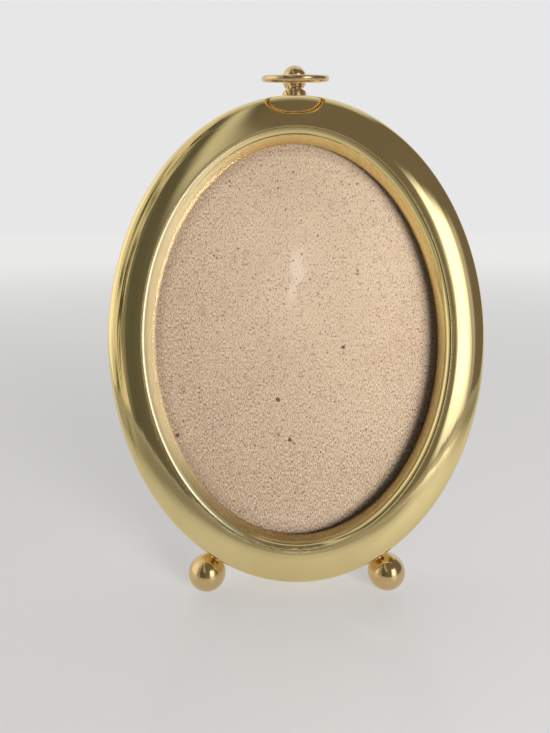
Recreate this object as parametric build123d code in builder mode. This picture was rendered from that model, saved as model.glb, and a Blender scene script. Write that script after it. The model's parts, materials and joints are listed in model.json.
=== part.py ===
"""Oval brass photo frame on two ball feet, with a hanging ring and an easel leg behind it.

Millimetres, +Z up, the front towards -Y. The frame leans back on its open leg and stands on Z = 0, and the
origin is the middle of its box on that floor. Across the face x runs right, y runs up the leaning face and
depths are counted back from the plane of the seam beside the bead.
"""

import os
from math import acos, asin, atan2, cos, degrees, hypot, radians, sin, sqrt, tan

from build123d import *

# Stance: lean of the face from upright, and how far the leg opens from the back
lean_angle = 15.0
leg_angle = 24.0

# Pressed front moulding, hollow and open behind, with a hem turned in at its back edge
outer_width = 110.8
outer_height = 143.4
moulding_width = 10.6
sheet_thickness = 0.8
shoulder_radius = 2.2
shoulder_depth = 4.0
seam_radius = 0.5
seam_return = 3.0
hem_radius = 1.4
hem_width = 2.8

# Sight liner: a bead beside the seam, a wall that closes in towards its foot, and a flange over the glass
bead_radius = 0.65
bead_rise = 0.3
seam_gap = 0.05
liner_thickness = 0.7
liner_depth = 5.5
liner_flange = 3.0
liner_bend = 0.9
wall_splay = 1.7

# Glass, filler board, packing and back behind the liner
glass_thickness = 1.6
filler_thickness = 2.0
packing_thickness = 5.1
packing_margin = 1.5
panel_thickness = 2.2
cover_thickness = 0.5
pane_overlap = 2.3
panel_clearance = 0.6
cover_margin = 1.0

# Turn buttons, at this angle round the oval from its middle line
button_angle = 42.0
button_inset = 7.4
button_thickness = 0.7
button_root_radius = 3.0
button_tip_radius = 2.2
button_wall_gap = 0.6
button_gap = 0.1
button_rivet_radius = 1.2
button_rivet_head_radius = 2.2
button_rivet_head = 0.6
button_clinch_radius = 1.9
button_clinch = 0.4

# Hanging stud: shank, flared foot, waist and ball, with its nut and washer inside
stud_depth = 8.0
stud_foot_radius = 3.7
stud_foot_height = 2.5
stud_waist_radius = 2.45
stud_ball_radius = 3.7
stud_ball_height = 6.85
stud_shank_radius = 1.5
stud_shank_length = 5.6
stud_nut_radius = 3.1
stud_nut_height = 2.4

# Ring: a wire bow whose ends turn in to pivot in the stud's ball
ring_radius = 8.95
ring_wire_radius = 0.9
ring_bend_radius = 1.5
ring_droop = 26.0
ring_clearance = 0.05
ring_end_gap = 0.25
stud_core = 2.6

# Ball feet, with a collar outside the moulding and a slotted screw from inside
foot_spread = 47.6
foot_depth = 8.0
ball_radius = 5.55
collar_radius = 2.0
collar_height = 1.25
screw_radius = 1.5
screw_engagement = 5.0
screw_head_radius = 2.6
screw_head_height = 1.8
screw_slot_width = 0.7
screw_slot_depth = 0.8
drill_spare = 0.4

# Washers inside the moulding, and the slack of screws, nuts and holes
washer_radius = 3.3
washer_thickness = 0.5
hole_clearance = 0.15
thread_clearance = 0.02

# Leg hinge: leaves, knuckles, pin and rivets
hinge_rise = 26.0
hinge_standoff = 0.4
leaf_width = 24.0
leaf_height = 14.0
leaf_thickness = 0.8
leaf_corner = 2.0
knuckle_radius = 1.5
knuckle_share = 1 / 3
knuckle_gap = 0.2
knuckle_relief = 0.4
pin_radius = 0.8
pin_clearance = 0.05
pin_head_radius = 1.2
pin_head = 0.4
hinge_rivet_radius = 1.0
hinge_rivet_spacing = 14.0
hinge_rivet_drop = 9.0
hinge_rivet_head_radius = 2.0
hinge_rivet_head = 0.7
hinge_rivet_tail = 0.4
rivet_head_taper = 35.0
rivet_clearance = 0.05

# Easel leg: a board whose two shoulders stop on the back when it is open
leg_top_width = 36.0
leg_foot_width = 24.0
leg_thickness = 2.4
leg_heel = 6.0
leg_corner = 1.5
leg_gap = 0.3
leg_notch_gap = 0.9
stop_gap = 0.05

# One overrun serves all cuts that run past a face
overrun = 5.0

# Half axes of the outer oval, and its outward direction and bend at a point on it
half_width = outer_width / 2
half_height = outer_height / 2


def oval_normal(x, y):
    """Unit direction square to the oval at (x, y), pointing out."""
    nx, ny = x / half_width**2, y / half_height**2
    return nx / hypot(nx, ny), ny / hypot(nx, ny)


def oval_bend(x, y):
    """Radius of the oval's curve at (x, y)."""
    slope = hypot(x / half_width**2, y / half_height**2)
    return half_width**2 * half_height**2 * slope**3


# Depths, one layer behind the other
glass_front = liner_depth
filler_front = glass_front + glass_thickness
packing_front = filler_front + filler_thickness
panel_front = packing_front + packing_thickness
cover_front = panel_front + panel_thickness
cover_back = cover_front + cover_thickness
button_front = cover_back + button_gap
button_back = button_front + button_thickness
hem_front = button_back + button_gap
moulding_depth = hem_front + sheet_thickness
hinge_depth = moulding_depth + hinge_standoff

# Insets from the outer oval: inside of the bead, foot of the liner's wall, the pane and the back panel
bead_inset = moulding_width + seam_gap + 2 * bead_radius
sight_inset = bead_inset + wall_splay
pane_inset = sight_inset - pane_overlap
panel_inset = hem_width + panel_clearance

# Front face of the moulding: flat at the seam, and rolling into the shoulder with no break
face_run = moulding_width - seam_radius - shoulder_radius
face_sag = shoulder_depth - shoulder_radius
face_radius = (face_run**2 + shoulder_depth**2 - shoulder_radius**2) / (2 * face_sag)
face_tilt = degrees(asin(face_run / (face_radius - shoulder_radius)))

# Liner wall: the line that touches both the bead and the bend at its foot, and its slope
bead_x = bead_radius - bead_inset
bead_y = bead_rise - bead_radius
bend_x = liner_bend - sight_inset
bend_y = liner_bend - liner_depth
bend_distance = hypot(bead_x - bend_x, bead_y - bend_y)
wall_slope = acos((bead_radius - liner_bend) / bend_distance) - atan2(bead_y - bend_y, bead_x - bend_x)

# Feet: where the collar meets the moulding, and the ball's centre below the middle of the oval
foot_x = foot_spread / 2
foot_y = -half_height * sqrt(1 - (foot_x / half_width) ** 2)
foot_nx, foot_ny = oval_normal(foot_x, foot_y)
ball_flat = sqrt(ball_radius**2 - collar_radius**2)
ball_reach = collar_height + ball_flat
ball_drop = -foot_y - foot_ny * ball_reach

# Place of the face, the hinge and the leg, so that the balls and the leg stand on Z = 0
lean = radians(lean_angle)
leg_lean = radians(leg_angle) - lean
face_height = ball_radius + ball_drop * cos(lean) + foot_depth * sin(lean)
hinge_height = face_height + hinge_rise * cos(lean) - hinge_depth * sin(lean)
hinge_back = hinge_rise * sin(lean) + hinge_depth * cos(lean)
leg_front = hinge_standoff - leg_gap
leg_back = leg_front - leg_thickness
leg_cover_back = leg_back - cover_thickness
front_reach = (half_height - moulding_width + seam_radius) * sin(lean) + face_radius * (1 - cos(lean))
back_reach = hinge_back + hinge_height * tan(leg_lean) - leg_cover_back / cos(leg_lean)
face_set = (front_reach - back_reach) / 2

right = Vector(1, 0, 0)
face_up = Vector(0, sin(lean), cos(lean))
face_out = Vector(0, -cos(lean), sin(lean))
face_centre = Vector(0, face_set, face_height)
leg_up = Vector(0, -sin(leg_lean), cos(leg_lean))
leg_out = Vector(0, -cos(leg_lean), -sin(leg_lean))


def on_face(x, y, depth):
    """Point at x and y across the face, this deep behind the seam's plane."""
    return face_centre + right * x + face_up * y - face_out * depth


hinge_centre = on_face(0, hinge_rise, hinge_depth)
FACE = Plane(origin=face_centre, x_dir=right, z_dir=face_out)
SECTION = Plane(origin=on_face(half_width, 0, 0), x_dir=right, z_dir=-face_up)
STUD = Plane(origin=on_face(0, half_height, stud_depth), x_dir=right, z_dir=face_up)
PIN = Plane(origin=hinge_centre, x_dir=face_up, z_dir=right)
LEG = Plane(origin=hinge_centre, x_dir=right, z_dir=leg_out)

feet = {}
for side_name, side in (("left", -1), ("right", 1)):
    foot_axis = right * side * foot_nx + face_up * foot_ny
    feet[side_name] = Plane(origin=on_face(side * foot_x, foot_y, foot_depth), x_dir=face_out, z_dir=foot_axis)

# Turn button pivots, each with its x towards the rim and its z towards the back
buttons = {}
button_x = half_width * cos(radians(button_angle))
button_y = half_height * sin(radians(button_angle))
button_nx, button_ny = oval_normal(button_x, button_y)
for level_name, level in (("upper", 1), ("lower", -1)):
    for side_name, side in (("left", -1), ("right", 1)):
        pivot_x = side * (button_x - button_nx * button_inset)
        pivot_y = level * (button_y - button_ny * button_inset)
        towards_rim = right * side * button_nx + face_up * level * button_ny
        buttons[f"{level_name}_{side_name}"] = Plane(
            origin=on_face(pivot_x, pivot_y, cover_back), x_dir=towards_rim, z_dir=-face_out
        )

os.makedirs("parts", exist_ok=True)

# Front moulding: one sheet section carried round the oval, with holes for the stud and the foot screws
with BuildPart() as front_moulding:
    with BuildLine(FACE) as rim:
        EllipticalCenterArc((0, 0), half_width, half_height, start_angle=0, arc_size=360)
    with BuildSketch(SECTION):
        with BuildLine():
            Line((-hem_width, -moulding_depth), (-hem_radius, -moulding_depth))
            CenterArc((-hem_radius, hem_radius - moulding_depth), hem_radius, 270, 90)
            Line((0, hem_radius - moulding_depth), (0, -shoulder_depth))
            CenterArc((-shoulder_radius, -shoulder_depth), shoulder_radius, 0, 90 - face_tilt)
            CenterArc((seam_radius - moulding_width, -face_radius), face_radius, 90 - face_tilt, face_tilt)
            CenterArc((seam_radius - moulding_width, -seam_radius), seam_radius, 90, 90)
            Line((-moulding_width, -seam_radius), (-moulding_width, -seam_return))
            offset(amount=sheet_thickness, side=Side.LEFT)
        make_face()
    sweep(path=rim.line)
    with BuildSketch(STUD.offset(-sheet_thickness - overrun)):
        Circle(stud_shank_radius + hole_clearance)
    extrude(amount=sheet_thickness + 2 * overrun, mode=Mode.SUBTRACT)
    with BuildSketch(*[plane.offset(-sheet_thickness - overrun) for plane in feet.values()]):
        Circle(screw_radius + hole_clearance)
    extrude(amount=sheet_thickness + 2 * overrun, mode=Mode.SUBTRACT)
front_moulding.part.label = "front_moulding"
export_step(front_moulding.part, "parts/front_moulding.step")

# Sight liner: wall and flange of one sheet, with the bead on its front edge
with BuildPart() as sight_liner:
    with BuildLine(FACE) as liner_rim:
        EllipticalCenterArc((0, 0), half_width, half_height, start_angle=0, arc_size=360)
    with BuildSketch(SECTION):
        with BuildLine():
            Line(
                (bead_x - bead_radius * cos(wall_slope), bead_y + bead_radius * sin(wall_slope)),
                (bend_x - liner_bend * cos(wall_slope), bend_y + liner_bend * sin(wall_slope)),
            )
            CenterArc((bend_x, bend_y), liner_bend, 180 - degrees(wall_slope), 90 + degrees(wall_slope))
            Line((bend_x, -liner_depth), (liner_flange - sight_inset, -liner_depth))
            offset(amount=liner_thickness, side=Side.LEFT)
        make_face()
        with Locations((bead_x, bead_y)):
            Circle(bead_radius)
    sweep(path=liner_rim.line)
sight_liner.part.label = "sight_liner"
export_step(sight_liner.part, "parts/sight_liner.step")

# Glass, the chipboard behind it, and the packing that holds both against the liner
with BuildPart() as glass_pane:
    with BuildSketch(FACE.offset(-glass_front)):
        Ellipse(half_width - pane_inset, half_height - pane_inset)
    extrude(amount=-glass_thickness)
glass_pane.part.label = "glass_pane"
export_step(glass_pane.part, "parts/glass_pane.step")

with BuildPart() as filler_board:
    with BuildSketch(FACE.offset(-filler_front)):
        Ellipse(half_width - pane_inset, half_height - pane_inset)
    extrude(amount=-filler_thickness)
filler_board.part.label = "filler_board"
export_step(filler_board.part, "parts/filler_board.step")

packing_inset = pane_inset + packing_margin
with BuildPart() as packing_board:
    with BuildSketch(FACE.offset(-packing_front)):
        Ellipse(half_width - packing_inset, half_height - packing_inset)
    extrude(amount=-packing_thickness)
packing_board.part.label = "packing_board"
export_step(packing_board.part, "parts/packing_board.step")

# Back panel and its covering paper, drilled for the hinge's and the turn buttons' rivets
hinge_rivet_y = hinge_rise + hinge_rivet_drop
with BuildPart() as back_panel:
    with BuildSketch(FACE.offset(-panel_front)):
        Ellipse(half_width - panel_inset, half_height - panel_inset)
        with Locations((0, hinge_rivet_y)):
            with GridLocations(hinge_rivet_spacing, 0, 2, 1):
                Circle(hinge_rivet_radius + rivet_clearance, mode=Mode.SUBTRACT)
    extrude(amount=-panel_thickness)
    with BuildSketch(*buttons.values()):
        Circle(button_rivet_radius + rivet_clearance)
    extrude(amount=-panel_thickness - cover_thickness - overrun, mode=Mode.SUBTRACT)
back_panel.part.label = "back_panel"
export_step(back_panel.part, "parts/back_panel.step")

cover_inset = panel_inset + cover_margin
with BuildPart() as back_cover:
    with BuildSketch(FACE.offset(-cover_front)):
        Ellipse(half_width - cover_inset, half_height - cover_inset)
        with Locations((0, hinge_rivet_y)):
            with GridLocations(hinge_rivet_spacing, 0, 2, 1):
                Circle(hinge_rivet_radius + rivet_clearance, mode=Mode.SUBTRACT)
    extrude(amount=-cover_thickness)
    with BuildSketch(*buttons.values()):
        Circle(button_rivet_radius + rivet_clearance)
    extrude(amount=-cover_thickness - overrun, mode=Mode.SUBTRACT)
back_cover.part.label = "back_cover"
export_step(back_cover.part, "parts/back_cover.step")

# Turn buttons: a flat tongue, round at both ends, that reaches under the moulding's hem
button_reach = button_inset - sheet_thickness - button_wall_gap
for button_name, plane in buttons.items():
    with BuildPart() as turn_button:
        with BuildSketch(plane.offset(button_gap)) as tongue:
            Circle(button_root_radius)
            with Locations((button_reach - button_tip_radius, 0)):
                Circle(button_tip_radius)
            make_hull()
            Circle(button_rivet_radius + rivet_clearance, mode=Mode.SUBTRACT)
        extrude(amount=button_thickness)
    turn_button.part.label = f"turn_button_{button_name}"
    export_step(turn_button.part, f"parts/turn_button_{button_name}.step")

# Their rivets: a head over the button, a shank through the back and a clinch in front of it
button_head_seat = 2 * button_gap + button_thickness
back_thickness = panel_thickness + cover_thickness
with BuildPart() as turn_button_rivets:
    with BuildSketch(*[plane.offset(-back_thickness) for plane in buttons.values()]):
        Circle(button_rivet_radius)
    extrude(amount=back_thickness + button_head_seat)
    with BuildSketch(*[plane.offset(button_head_seat) for plane in buttons.values()]):
        Circle(button_rivet_head_radius)
    extrude(amount=button_rivet_head, taper=rivet_head_taper)
    with BuildSketch(*[plane.offset(-back_thickness - button_clinch) for plane in buttons.values()]):
        Circle(button_clinch_radius)
    extrude(amount=button_clinch)
turn_button_rivets.part.label = "turn_button_rivets"
export_step(turn_button_rivets.part, "parts/turn_button_rivets.step")

# Hanging stud: turned head saddled on the moulding, bored from both sides for the ring, then its shank
stud_flare = stud_foot_radius - stud_waist_radius
stud_neck_top = stud_ball_height - sqrt(stud_ball_radius**2 - stud_waist_radius**2)
stud_top = stud_ball_height + stud_ball_radius
STUD_SIDE = Plane(origin=STUD.origin, x_dir=right, z_dir=face_out)
ball_centre = STUD.origin + face_up * stud_ball_height
ring_bores = [Plane(origin=ball_centre, x_dir=face_up, z_dir=right * side) for side in (-1, 1)]
with BuildPart() as hanger_stud:
    with BuildSketch(STUD_SIDE):
        with BuildLine():
            Line((0, stud_top), (0, -sheet_thickness))
            Line((0, -sheet_thickness), (stud_foot_radius, -sheet_thickness))
            Line((stud_foot_radius, -sheet_thickness), (stud_foot_radius, stud_foot_height))
            CenterArc((stud_foot_radius, stud_foot_height + stud_flare), stud_flare, 270, -90)
            Line((stud_waist_radius, stud_foot_height + stud_flare), (stud_waist_radius, stud_neck_top))
            ThreePointArc(
                (stud_waist_radius, stud_neck_top), (stud_ball_radius, stud_ball_height), (0, stud_top)
            )
        make_face()
    revolve(axis=Axis(STUD.origin, face_up))
    with BuildSketch(FACE):
        Ellipse(half_width, half_height)
    extrude(amount=-moulding_depth, mode=Mode.SUBTRACT)
    with BuildSketch(STUD.offset(-stud_shank_length)):
        Circle(stud_shank_radius)
    extrude(amount=stud_shank_length + stud_foot_height)
    with BuildSketch(*[plane.offset(stud_core / 2) for plane in ring_bores]):
        Circle(ring_wire_radius + ring_clearance)
    extrude(amount=stud_ball_radius, mode=Mode.SUBTRACT)
hanger_stud.part.label = "hanger_stud"
export_step(hanger_stud.part, "parts/hanger_stud.step")

# Washer and nut on the shank; the washer's edges touch the curved wall
stud_seat = sheet_thickness + washer_radius**2 / (2 * (oval_bend(0, half_height) - sheet_thickness))
with BuildPart() as hanger_washer:
    with BuildSketch(STUD.offset(-stud_seat)):
        Circle(washer_radius)
        Circle(stud_shank_radius + hole_clearance, mode=Mode.SUBTRACT)
    extrude(amount=-washer_thickness)
hanger_washer.part.label = "hanger_washer"
export_step(hanger_washer.part, "parts/hanger_washer.step")

with BuildPart() as hanger_nut:
    with BuildSketch(STUD.offset(-stud_seat - washer_thickness)):
        RegularPolygon(radius=stud_nut_radius, side_count=6)
        Circle(stud_shank_radius + thread_clearance, mode=Mode.SUBTRACT)
    extrude(amount=-stud_nut_height)
hanger_nut.part.label = "hanger_nut"
export_step(hanger_nut.part, "parts/hanger_nut.step")

# Ring: straight ends in the ball, a tight bend beside it on each side, and the round bow
ring_out = face_out * cos(radians(ring_droop)) - face_up * sin(radians(ring_droop))
RING = Plane(origin=ball_centre, x_dir=right, z_dir=right.cross(ring_out))
ring_end = stud_core / 2 + ring_end_gap
ring_turn = stud_ball_radius + ring_wire_radius
bow_rise = sqrt((ring_radius - ring_bend_radius) ** 2 - ring_turn**2)
bow_centre = ring_bend_radius + bow_rise
bow_start = -degrees(atan2(bow_rise, ring_turn))
with BuildPart() as hanger_ring:
    with BuildLine(RING) as bow:
        Line((ring_end, 0), (ring_turn, 0))
        CenterArc((ring_turn, ring_bend_radius), ring_bend_radius, 270, 90 + bow_start)
        CenterArc((0, bow_centre), ring_radius, bow_start, 180 - 2 * bow_start)
        CenterArc((-ring_turn, ring_bend_radius), ring_bend_radius, 180 - bow_start, 90 + bow_start)
        Line((-ring_turn, 0), (-ring_end, 0))
    with BuildSketch(Plane(origin=ball_centre + right * ring_end, x_dir=face_up, z_dir=right)):
        Circle(ring_wire_radius)
    sweep(path=bow.wires()[0])
hanger_ring.part.label = "hanger_ring"
export_step(hanger_ring.part, "parts/hanger_ring.step")

# Feet: collar saddled on the moulding, ball with a flat and a tapped hole, washer and slotted screw inside
foot_seat = sheet_thickness + washer_radius**2 / (2 * (oval_bend(foot_x, foot_y) - sheet_thickness))
screw_seat = foot_seat + washer_thickness
screw_tip = collar_height + screw_engagement
for side_name, plane in feet.items():
    with BuildPart() as foot_collar:
        with BuildSketch(plane.offset(-sheet_thickness)):
            Circle(collar_radius)
        extrude(amount=sheet_thickness + collar_height)
        with BuildSketch(FACE):
            Ellipse(half_width, half_height)
        extrude(amount=-moulding_depth, mode=Mode.SUBTRACT)
        with BuildSketch(plane.offset(-sheet_thickness)):
            Circle(screw_radius + hole_clearance)
        extrude(amount=sheet_thickness + collar_height + overrun, mode=Mode.SUBTRACT)
    foot_collar.part.label = f"foot_collar_{side_name}"
    export_step(foot_collar.part, f"parts/foot_collar_{side_name}.step")

    with BuildPart(plane.offset(ball_reach)) as foot_ball:
        Sphere(ball_radius)
        with BuildSketch(plane.offset(collar_height)):
            Circle(ball_radius)
        extrude(amount=-ball_radius, mode=Mode.SUBTRACT)
        with BuildSketch(plane.offset(collar_height)):
            Circle(screw_radius + thread_clearance)
        extrude(amount=screw_engagement + drill_spare, mode=Mode.SUBTRACT)
    foot_ball.part.label = f"foot_ball_{side_name}"
    export_step(foot_ball.part, f"parts/foot_ball_{side_name}.step")

    with BuildPart() as foot_washer:
        with BuildSketch(plane.offset(-foot_seat)):
            Circle(washer_radius)
            Circle(screw_radius + hole_clearance, mode=Mode.SUBTRACT)
        extrude(amount=-washer_thickness)
    foot_washer.part.label = f"foot_washer_{side_name}"
    export_step(foot_washer.part, f"parts/foot_washer_{side_name}.step")

    with BuildPart() as foot_screw:
        with BuildSketch(plane.offset(-screw_seat)):
            Circle(screw_head_radius)
        extrude(amount=-screw_head_height)
        with BuildSketch(plane.offset(-screw_seat)):
            Circle(screw_radius)
        extrude(amount=screw_seat + screw_tip)
        with BuildSketch(plane.offset(-screw_seat - screw_head_height)):
            Rectangle(2 * screw_head_radius + overrun, screw_slot_width)
        extrude(amount=screw_slot_depth, mode=Mode.SUBTRACT)
    foot_screw.part.label = f"foot_screw_{side_name}"
    export_step(foot_screw.part, f"parts/foot_screw_{side_name}.step")

# Upper hinge leaf: a plate on the back with the two outer knuckles
knuckle_end = leaf_width / 2
knuckle_inner = leaf_width * knuckle_share / 2
knuckle_reach = knuckle_radius + knuckle_relief
with BuildPart() as hinge_upper_leaf:
    with BuildSketch(FACE.offset(-cover_back)) as upper_plate:
        with Locations((0, hinge_rise)):
            Rectangle(leaf_width, leaf_height, align=(Align.CENTER, Align.MIN))
        fillet(upper_plate.vertices().group_by(Axis.Y)[-1], leaf_corner)
        with Locations((0, hinge_rise)):
            Rectangle(2 * (knuckle_inner + knuckle_gap), 2 * knuckle_reach, mode=Mode.SUBTRACT)
        with Locations((0, hinge_rivet_y)):
            with GridLocations(hinge_rivet_spacing, 0, 2, 1):
                Circle(hinge_rivet_radius + rivet_clearance, mode=Mode.SUBTRACT)
    extrude(amount=-leaf_thickness)
    with BuildSketch(PIN.offset(knuckle_inner + knuckle_gap), PIN.offset(-knuckle_end)):
        Circle(knuckle_radius)
    extrude(amount=knuckle_end - knuckle_inner - knuckle_gap)
    with BuildSketch(PIN.offset(-knuckle_end)):
        Circle(pin_radius)
    extrude(amount=leaf_width, mode=Mode.SUBTRACT)
hinge_upper_leaf.part.label = "hinge_upper_leaf"
export_step(hinge_upper_leaf.part, "parts/hinge_upper_leaf.step")

# Lower hinge leaf: a plate on the leg's inner face with the middle knuckle
with BuildPart() as hinge_lower_leaf:
    with BuildSketch(LEG.offset(leg_front)) as lower_plate:
        with Locations((0, -knuckle_reach)):
            Rectangle(leaf_width, leaf_height - knuckle_reach, align=(Align.CENTER, Align.MAX))
        fillet(lower_plate.vertices().group_by(Axis.Y)[0], leaf_corner)
        Rectangle(2 * knuckle_inner, knuckle_reach, align=(Align.CENTER, Align.MAX))
        with Locations((0, -hinge_rivet_drop)):
            with GridLocations(hinge_rivet_spacing, 0, 2, 1):
                Circle(hinge_rivet_radius + rivet_clearance, mode=Mode.SUBTRACT)
    extrude(amount=leaf_thickness)
    with BuildSketch(PIN.offset(-knuckle_inner)):
        Circle(knuckle_radius)
    extrude(amount=2 * knuckle_inner)
    with BuildSketch(PIN.offset(-knuckle_inner)):
        Circle(pin_radius + pin_clearance)
    extrude(amount=2 * knuckle_inner, mode=Mode.SUBTRACT)
hinge_lower_leaf.part.label = "hinge_lower_leaf"
export_step(hinge_lower_leaf.part, "parts/hinge_lower_leaf.step")

# Hinge pin, peened at both ends
with BuildPart() as hinge_pin:
    with BuildSketch(PIN.offset(-knuckle_end)):
        Circle(pin_radius)
    extrude(amount=leaf_width)
    with BuildSketch(PIN.offset(knuckle_end), PIN.offset(-knuckle_end - pin_head)):
        Circle(pin_head_radius)
    extrude(amount=pin_head)
hinge_pin.part.label = "hinge_pin"
export_step(hinge_pin.part, "parts/hinge_pin.step")

# Hinge rivets: the upper pair lies flush in the front of the panel, the lower pair goes through the leg
with BuildPart() as hinge_upper_rivets:
    with BuildSketch(FACE.offset(-cover_back - leaf_thickness)):
        with Locations((0, hinge_rivet_y)):
            with GridLocations(hinge_rivet_spacing, 0, 2, 1):
                Circle(hinge_rivet_radius)
    extrude(amount=leaf_thickness + back_thickness)
    with BuildSketch(FACE.offset(-cover_back - leaf_thickness)):
        with Locations((0, hinge_rivet_y)):
            with GridLocations(hinge_rivet_spacing, 0, 2, 1):
                Circle(hinge_rivet_head_radius)
    extrude(amount=-hinge_rivet_head, taper=rivet_head_taper)
hinge_upper_rivets.part.label = "hinge_upper_rivets"
export_step(hinge_upper_rivets.part, "parts/hinge_upper_rivets.step")

leaf_front = leg_front + leaf_thickness
with BuildPart() as hinge_lower_rivets:
    with BuildSketch(LEG.offset(leg_cover_back)):
        with Locations((0, -hinge_rivet_drop)):
            with GridLocations(hinge_rivet_spacing, 0, 2, 1):
                Circle(hinge_rivet_radius)
    extrude(amount=leaf_front - leg_cover_back)
    with BuildSketch(LEG.offset(leg_cover_back)):
        with Locations((0, -hinge_rivet_drop)):
            with GridLocations(hinge_rivet_spacing, 0, 2, 1):
                Circle(hinge_rivet_head_radius)
    extrude(amount=-hinge_rivet_head, taper=rivet_head_taper)
    with BuildSketch(LEG.offset(leaf_front)):
        with Locations((0, -hinge_rivet_drop)):
            with GridLocations(hinge_rivet_spacing, 0, 2, 1):
                Circle(hinge_rivet_head_radius)
    extrude(amount=hinge_rivet_tail, taper=rivet_head_taper)
hinge_lower_rivets.part.label = "hinge_lower_rivets"
export_step(hinge_lower_rivets.part, "parts/hinge_lower_rivets.step")

# Leg: a tapered board, notched for the hinge, cut level at the floor and bevelled where its shoulders stop
leg_reach = hinge_height / cos(leg_lean) + overrun
leg_notch = knuckle_end + pin_head + leg_notch_gap
with BuildPart() as strut_board:
    with BuildSketch(LEG.offset(leg_back)) as leg_outline:
        with BuildLine():
            Polyline(
                (leg_top_width / 2, leg_heel),
                (leg_foot_width / 2, -leg_reach),
                (-leg_foot_width / 2, -leg_reach),
                (-leg_top_width / 2, leg_heel),
                close=True,
            )
        make_face()
        fillet(leg_outline.vertices().group_by(Axis.Y)[-1], leg_corner)
        with Locations((0, -knuckle_reach)):
            Rectangle(2 * leg_notch, leg_heel + knuckle_reach + overrun, align=(Align.CENTER, Align.MIN),
                      mode=Mode.SUBTRACT)
        with Locations((0, -hinge_rivet_drop)):
            with GridLocations(hinge_rivet_spacing, 0, 2, 1):
                Circle(hinge_rivet_radius + rivet_clearance, mode=Mode.SUBTRACT)
    extrude(amount=leg_thickness)
    with BuildSketch(Plane.XY):
        Rectangle(outer_width, 2 * back_reach + overrun)
    extrude(amount=-2 * overrun, mode=Mode.SUBTRACT)
    with BuildSketch(FACE.offset(-cover_back - stop_gap)):
        Rectangle(outer_width, outer_height)
    extrude(amount=cover_back, mode=Mode.SUBTRACT)
strut_board.part.label = "strut_board"
export_step(strut_board.part, "parts/strut_board.step")

# Covering paper on the leg's back, below the hinge
with BuildPart() as strut_cover:
    with BuildSketch(LEG.offset(leg_cover_back)) as leg_sheet:
        with BuildLine():
            Polyline(
                (leg_top_width / 2 - cover_margin, leg_heel),
                (leg_foot_width / 2 - cover_margin, -leg_reach),
                (cover_margin - leg_foot_width / 2, -leg_reach),
                (cover_margin - leg_top_width / 2, leg_heel),
                close=True,
            )
        make_face()
        with Locations((0, -knuckle_reach - cover_margin)):
            Rectangle(outer_width, leg_heel + leg_reach, align=(Align.CENTER, Align.MIN), mode=Mode.SUBTRACT)
        with Locations((0, -hinge_rivet_drop)):
            with GridLocations(hinge_rivet_spacing, 0, 2, 1):
                Circle(hinge_rivet_radius + rivet_clearance, mode=Mode.SUBTRACT)
    extrude(amount=cover_thickness)
    with BuildSketch(Plane.XY):
        Rectangle(outer_width, 2 * back_reach + overrun)
    extrude(amount=-2 * overrun, mode=Mode.SUBTRACT)
strut_cover.part.label = "strut_cover"
export_step(strut_cover.part, "parts/strut_cover.step")
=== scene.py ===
"""Looks of an oval brass photo frame: polished brass, chipboard behind glass and a papered easel back.

Lengths are millimetres on the leaning face: x to the right, y up the face, depth back from the plane of the
seam. They become metres in the shared frame when a mesh is made. Finishes and lights are given in metres.
"""

import json

import bmesh
import bpy
import numpy as np
from mathutils import Matrix


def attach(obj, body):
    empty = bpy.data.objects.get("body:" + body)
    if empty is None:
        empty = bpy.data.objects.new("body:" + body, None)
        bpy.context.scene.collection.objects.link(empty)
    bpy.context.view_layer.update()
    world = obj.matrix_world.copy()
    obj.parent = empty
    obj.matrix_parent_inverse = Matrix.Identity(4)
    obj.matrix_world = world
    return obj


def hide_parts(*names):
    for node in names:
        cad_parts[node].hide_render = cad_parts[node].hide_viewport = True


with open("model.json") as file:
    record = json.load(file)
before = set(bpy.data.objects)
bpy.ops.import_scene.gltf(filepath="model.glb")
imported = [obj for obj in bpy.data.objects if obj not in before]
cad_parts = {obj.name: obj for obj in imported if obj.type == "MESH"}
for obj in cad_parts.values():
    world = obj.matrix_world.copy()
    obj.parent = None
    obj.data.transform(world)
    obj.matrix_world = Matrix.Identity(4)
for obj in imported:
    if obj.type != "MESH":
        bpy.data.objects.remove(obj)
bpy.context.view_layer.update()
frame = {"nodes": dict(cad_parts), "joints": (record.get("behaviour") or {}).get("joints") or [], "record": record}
MM = 0.001
DEGREES = 180 / np.pi

# Pressed moulding
HALF_WIDTH = 55.4
HALF_HEIGHT = 71.7
MOULDING_WIDTH = 10.6
MOULDING_DEPTH = 18.6
SHEET = 0.8
SHOULDER_RADIUS = 2.2
SHOULDER_DEPTH = 4.0
SEAM_RADIUS = 0.5
SEAM_EDGE = 0.22
SEAM_REACH = 1.6
SEAM_RETURN = 3.0
HEM_RADIUS = 1.4
HEM_WIDTH = 2.8

# Sight liner
BEAD_RADIUS = 0.65
BEAD_RISE = 0.3
SEAM_GAP = 0.05
LIP_RADIUS = 0.25
LIP_END = 108.0
FACET_RADIUS = 1.7
FACET_END = 126.0
CORNER_RADIUS = 3.0
CORNER_END = 144.0
LINER_SHEET = 0.7
LINER_DEPTH = 5.5
LINER_FLANGE = 3.0
FOOT_RADIUS = 0.35
WALL_SPLAY = 1.7

# Glass pane
PANE_OVERLAP = 2.3
PANE_THICKNESS = 1.6
PANE_ARRIS = 0.2
PANE_GAP = 0.03

# Hanging stud and ring
STUD_DEPTH = 8.0
STUD_FOOT_RADIUS = 3.7
STUD_FOOT_HEIGHT = 2.5
STUD_WAIST_RADIUS = 2.45
STUD_BALL_RADIUS = 3.7
STUD_BALL_HEIGHT = 6.85
STUD_EDGE = 0.25
RING_RADIUS = 8.95
RING_WIRE = 0.9
RING_BEND = 1.5
RING_DROOP = 26.0
RING_END = 1.55

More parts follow.
